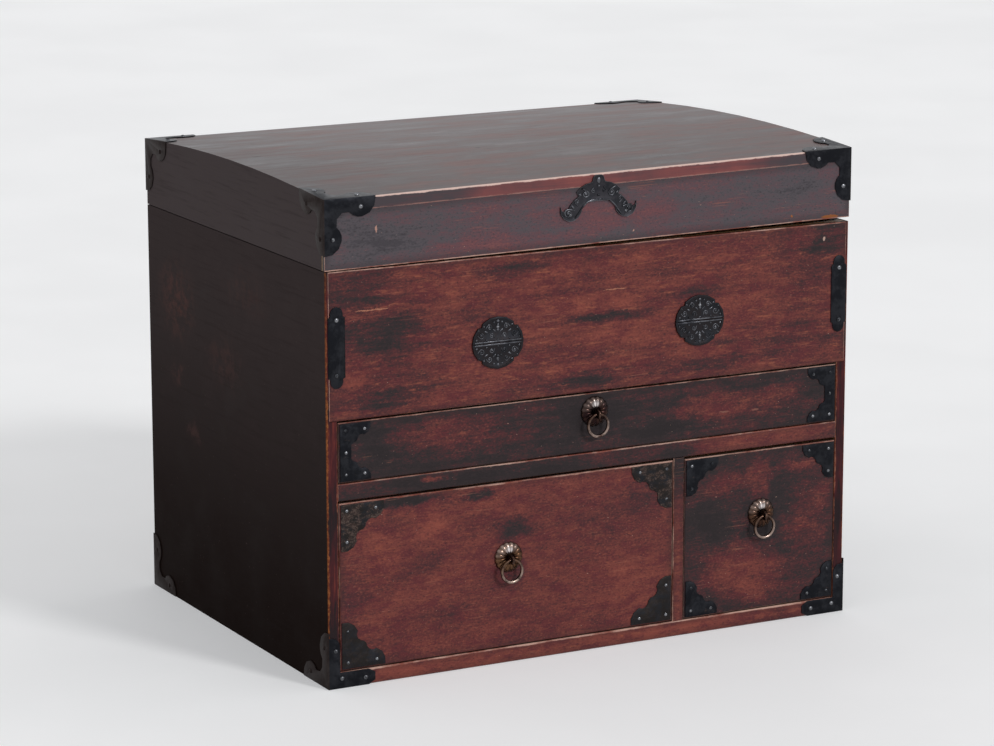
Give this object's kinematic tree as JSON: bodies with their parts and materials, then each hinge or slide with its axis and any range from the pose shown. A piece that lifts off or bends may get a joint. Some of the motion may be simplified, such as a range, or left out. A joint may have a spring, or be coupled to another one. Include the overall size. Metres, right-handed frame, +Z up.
{
  "type": "tabletop drawer chest",
  "caption": "Low wooden chest with an arched hinged lid, one wide drawer above two side by side, ring pulls and scalloped iron corner plates.",
  "frame": {"origin": "centre of the case's footprint, on the surface it stands on", "axes": "+X to the right seen from the front, -Y out of the drawer fronts, +Z up"},
  "size_m": [0.383, 0.2907, 0.3171],
  "materials": {
    "side_lacquer": "worn dark lacquer, satin",
    "lid_lacquer": "grey-brown lacquer, semi-gloss, rubbed",
    "front_lacquer": "red-brown lacquer worn through dark",
    "rail_lacquer": "red-brown lacquer, worn edges",
    "back_wood": "thin brown stain",
    "inner_wood": "bare pale wood, matt",
    "iron": "blackened hammered iron",
    "nail_iron": "blackened iron, rubbed",
    "bronze": "dark patina, bright where touched"
  },
  "bodies": {
    "carcass": {"side_board_left": "side_lacquer", "side_board_right": "side_lacquer", "back_board": "back_wood", "bottom_board": "rail_lacquer", "middle_shelf": "rail_lacquer", "drawer_divider": "rail_lacquer", "compartment_floor": "inner_wood", "upper_front_board": "front_lacquer", "base_corner_caps": "iron", "front_straps": "iron", "medallions": "iron", "body_hinge_leaves": "iron", "hinge_pins": "iron", "carcass_nails": "nail_iron"},
    "lid": {"lid_top_board": "lid_lacquer", "lid_front_rail": "lid_lacquer", "lid_back_rail": "lid_lacquer", "lid_end_left": "lid_lacquer", "lid_end_right": "lid_lacquer", "lid_ornament": "iron", "lid_corner_caps": "iron", "lid_hinge_leaves": "iron", "lid_nails": "nail_iron"},
    "long_drawer": {"long_drawer_front": "front_lacquer", "long_drawer_sides": "inner_wood", "long_drawer_back": "inner_wood", "long_drawer_bottom": "inner_wood", "long_drawer_corner_plates": "iron", "long_drawer_rosette": "bronze", "long_drawer_ring_eye": "bronze", "long_drawer_nails": "nail_iron"},
    "long_drawer_pull": {"long_drawer_ring": "bronze"},
    "left_drawer": {"left_drawer_front": "front_lacquer", "left_drawer_sides": "inner_wood", "left_drawer_back": "inner_wood", "left_drawer_bottom": "inner_wood", "left_drawer_corner_plates": "iron", "left_drawer_rosette": "bronze", "left_drawer_ring_eye": "bronze", "left_drawer_nails": "nail_iron"},
    "left_drawer_pull": {"left_drawer_ring": "bronze"},
    "right_drawer": {"right_drawer_front": "front_lacquer", "right_drawer_sides": "inner_wood", "right_drawer_back": "inner_wood", "right_drawer_bottom": "inner_wood", "right_drawer_corner_plates": "iron", "right_drawer_rosette": "bronze", "right_drawer_ring_eye": "bronze", "right_drawer_nails": "nail_iron"},
    "right_drawer_pull": {"right_drawer_ring": "bronze"}
  },
  "joints": [
    {"name": "lid_hinge", "type": "hinge", "parent": "carcass", "child": "lid", "pos_m": [0, 0.1413, 0.2653], "axis": [-1, 0, 0], "range_deg": [0, 105]},
    {"name": "long_drawer_slide", "type": "slide", "parent": "carcass", "child": "long_drawer", "axis": [0, -1, 0], "range_m": [0, 0.2]},
    {"name": "left_drawer_slide", "type": "slide", "parent": "carcass", "child": "left_drawer", "axis": [0, -1, 0], "range_m": [0, 0.2]},
    {"name": "right_drawer_slide", "type": "slide", "parent": "carcass", "child": "right_drawer", "axis": [0, -1, 0], "range_m": [0, 0.2]},
    {"name": "long_drawer_pull_hinge", "type": "hinge", "parent": "long_drawer", "child": "long_drawer_pull", "pos_m": [-0.001, -0.1442, 0.157], "axis": [-1, 0, 0], "range_deg": [-12, 165]},
    {"name": "left_drawer_pull_hinge", "type": "hinge", "parent": "left_drawer", "child": "left_drawer_pull", "pos_m": [-0.0634, -0.1442, 0.0688], "axis": [-1, 0, 0], "range_deg": [-12, 165]},
    {"name": "right_drawer_pull_hinge", "type": "hinge", "parent": "right_drawer", "child": "right_drawer_pull", "pos_m": [0.125, -0.1442, 0.0746], "axis": [-1, 0, 0], "range_deg": [-12, 165]}
  ]
}
